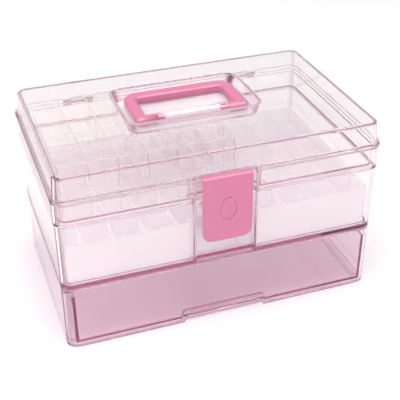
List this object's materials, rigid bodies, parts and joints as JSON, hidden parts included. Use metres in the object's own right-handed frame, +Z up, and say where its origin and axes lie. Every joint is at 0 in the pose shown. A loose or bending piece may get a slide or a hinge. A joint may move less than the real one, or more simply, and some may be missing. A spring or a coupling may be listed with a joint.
{
  "type": "sewing box",
  "caption": "Clear pink carry-handled sewing box with a hinged lid, front latch, divided lift-out trays and a base drawer.",
  "frame": {"origin": "middle of the footprint, on the surface the box stands on", "axes": "+X to the user's right along the box's length, +Y to the hinge side, +Z up"},
  "size_m": [0.33, 0.2136, 0.192],
  "materials": {
    "clear_shell": "clear pale pink, injection-moulded, polished",
    "clear_tray": "clear, very pale pink, injection-moulded",
    "milky_tray": "milky translucent white, satin",
    "drawer_pink": "translucent dusty pink, polished",
    "latch_pink": "opaque pink, satin-gloss moulded",
    "steel_pin": "drawn steel rod"
  },
  "bodies": {
    "body": {"tub": "clear_shell", "drawer_base": "drawer_pink", "latch_pin": "steel_pin", "hinge_pin_left": "steel_pin", "hinge_pin_right": "steel_pin"},
    "lid": {"lid": "clear_shell"},
    "handle": {"handle": "latch_pink"},
    "latch": {"latch": "latch_pink"},
    "drawer": {"drawer": "drawer_pink"},
    "upper_tray": {"upper_tray": "clear_tray", "upper_tray_dividers": "clear_tray"},
    "lower_tray_left": {"lower_tray_left": "milky_tray", "lower_tray_left_dividers": "milky_tray"},
    "lower_tray_right": {"lower_tray_right": "milky_tray", "lower_tray_right_dividers": "milky_tray"}
  },
  "joints": [
    {"name": "lid_hinge", "type": "hinge", "parent": "body", "child": "lid", "pos_m": [0, 0.1042, 0.165], "axis": [-1, 0, 0], "range_deg": [0, 105]},
    {"name": "handle_fold", "type": "hinge", "parent": "lid", "child": "handle", "pos_m": [0, -0.004, 0.1848], "axis": [1, 0, 0], "range_deg": [0, 90]},
    {"name": "latch_press", "type": "hinge", "parent": "body", "child": "latch", "pos_m": [0, -0.0994, 0.141], "axis": [1, 0, 0], "range_deg": [0, 8], "stiffness_Nm_per_rad": 0.2, "springref_deg": -4.58},
    {"name": "drawer_slide", "type": "slide", "parent": "body", "child": "drawer", "axis": [0, -1, 0], "range_m": [0, 0.15]},
    {"name": "upper_tray_lift", "type": "slide", "parent": "body", "child": "upper_tray", "axis": [0, 0, 1], "range_m": [0, 0.041]},
    {"name": "lower_tray_left_lift", "type": "slide", "parent": "body", "child": "lower_tray_left", "axis": [0, 0, 1], "range_m": [0, 0.063]},
    {"name": "lower_tray_right_lift", "type": "slide", "parent": "body", "child": "lower_tray_right", "axis": [0, 0, 1], "range_m": [0, 0.063]}
  ],
  "couplings": [
    {"joint": "upper_tray_lift", "follows": "lid_hinge", "m_per_rad": 0.022},
    {"joint": "lower_tray_left_lift", "follows": "lid_hinge", "m_per_rad": 0.034},
    {"joint": "lower_tray_right_lift", "follows": "lid_hinge", "m_per_rad": 0.034}
  ]
}
